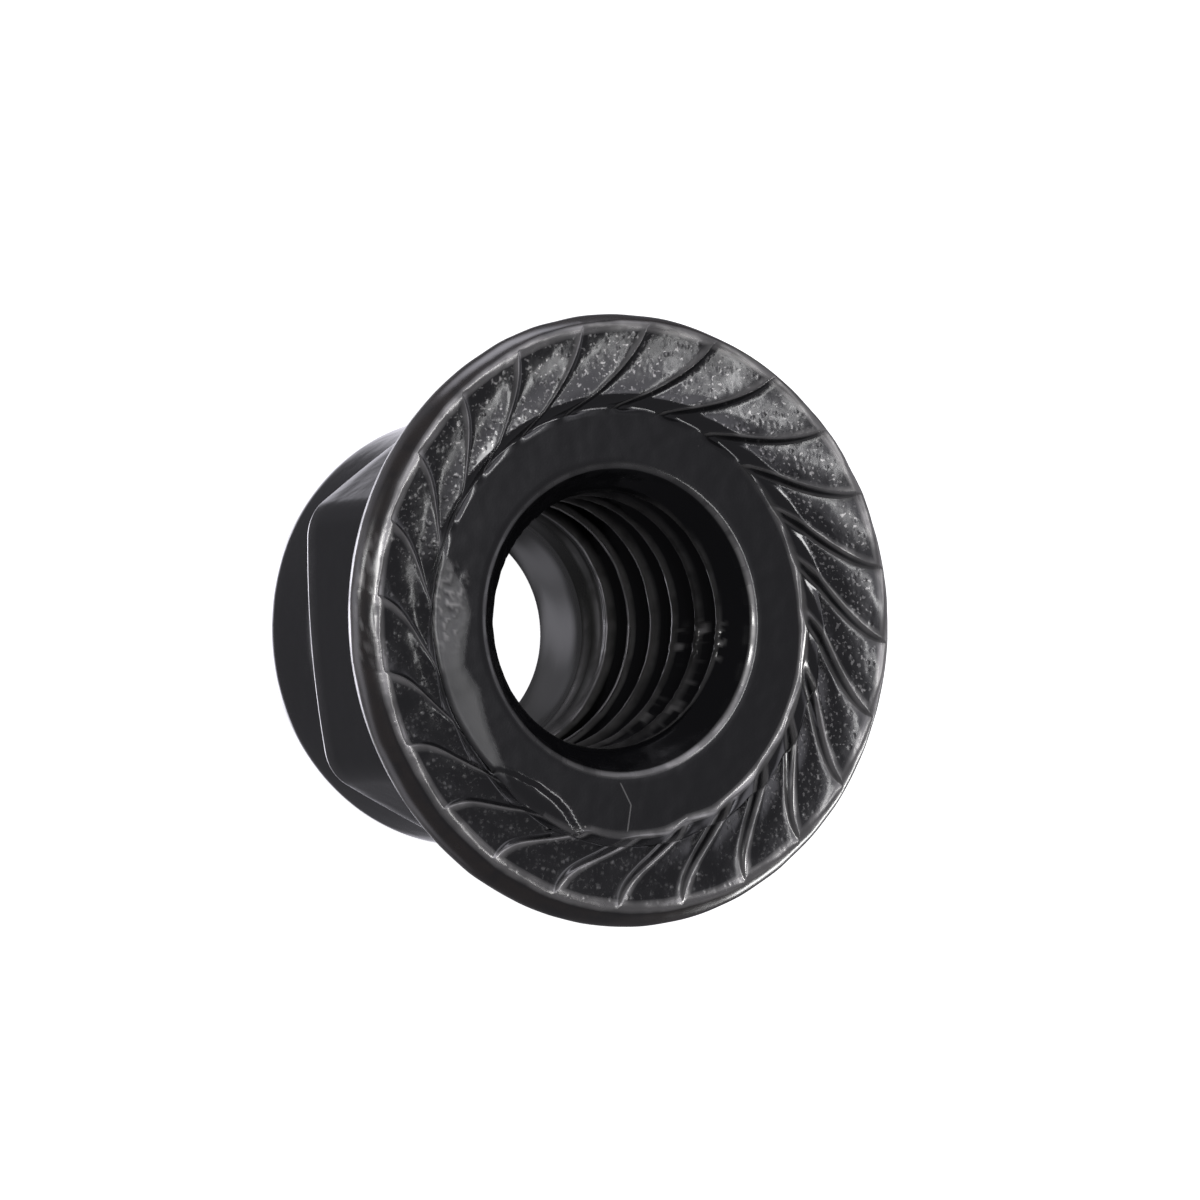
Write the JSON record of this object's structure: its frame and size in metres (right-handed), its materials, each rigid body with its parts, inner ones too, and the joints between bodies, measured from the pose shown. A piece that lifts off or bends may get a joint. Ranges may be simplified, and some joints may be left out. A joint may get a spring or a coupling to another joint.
{
  "type": "serrated flange nut",
  "caption": "Tall hexagon nut with a wide flange, a swirled saw-toothed bearing face, a threaded through bore and a rounded collar end.",
  "frame": {"origin": "centre of the flat collar end, where the thread axis meets the surface the nut stands on", "axes": "+Z along the thread axis, out of the serrated bearing face; +X square to one of the six wrench flats"},
  "size_m": [0.0202, 0.0202, 0.0129],
  "materials": {
    "black_coat": "glossy black coat on forged steel"
  },
  "bodies": {
    "root": {"flange_nut": "black_coat"}
  },
  "joints": []
}
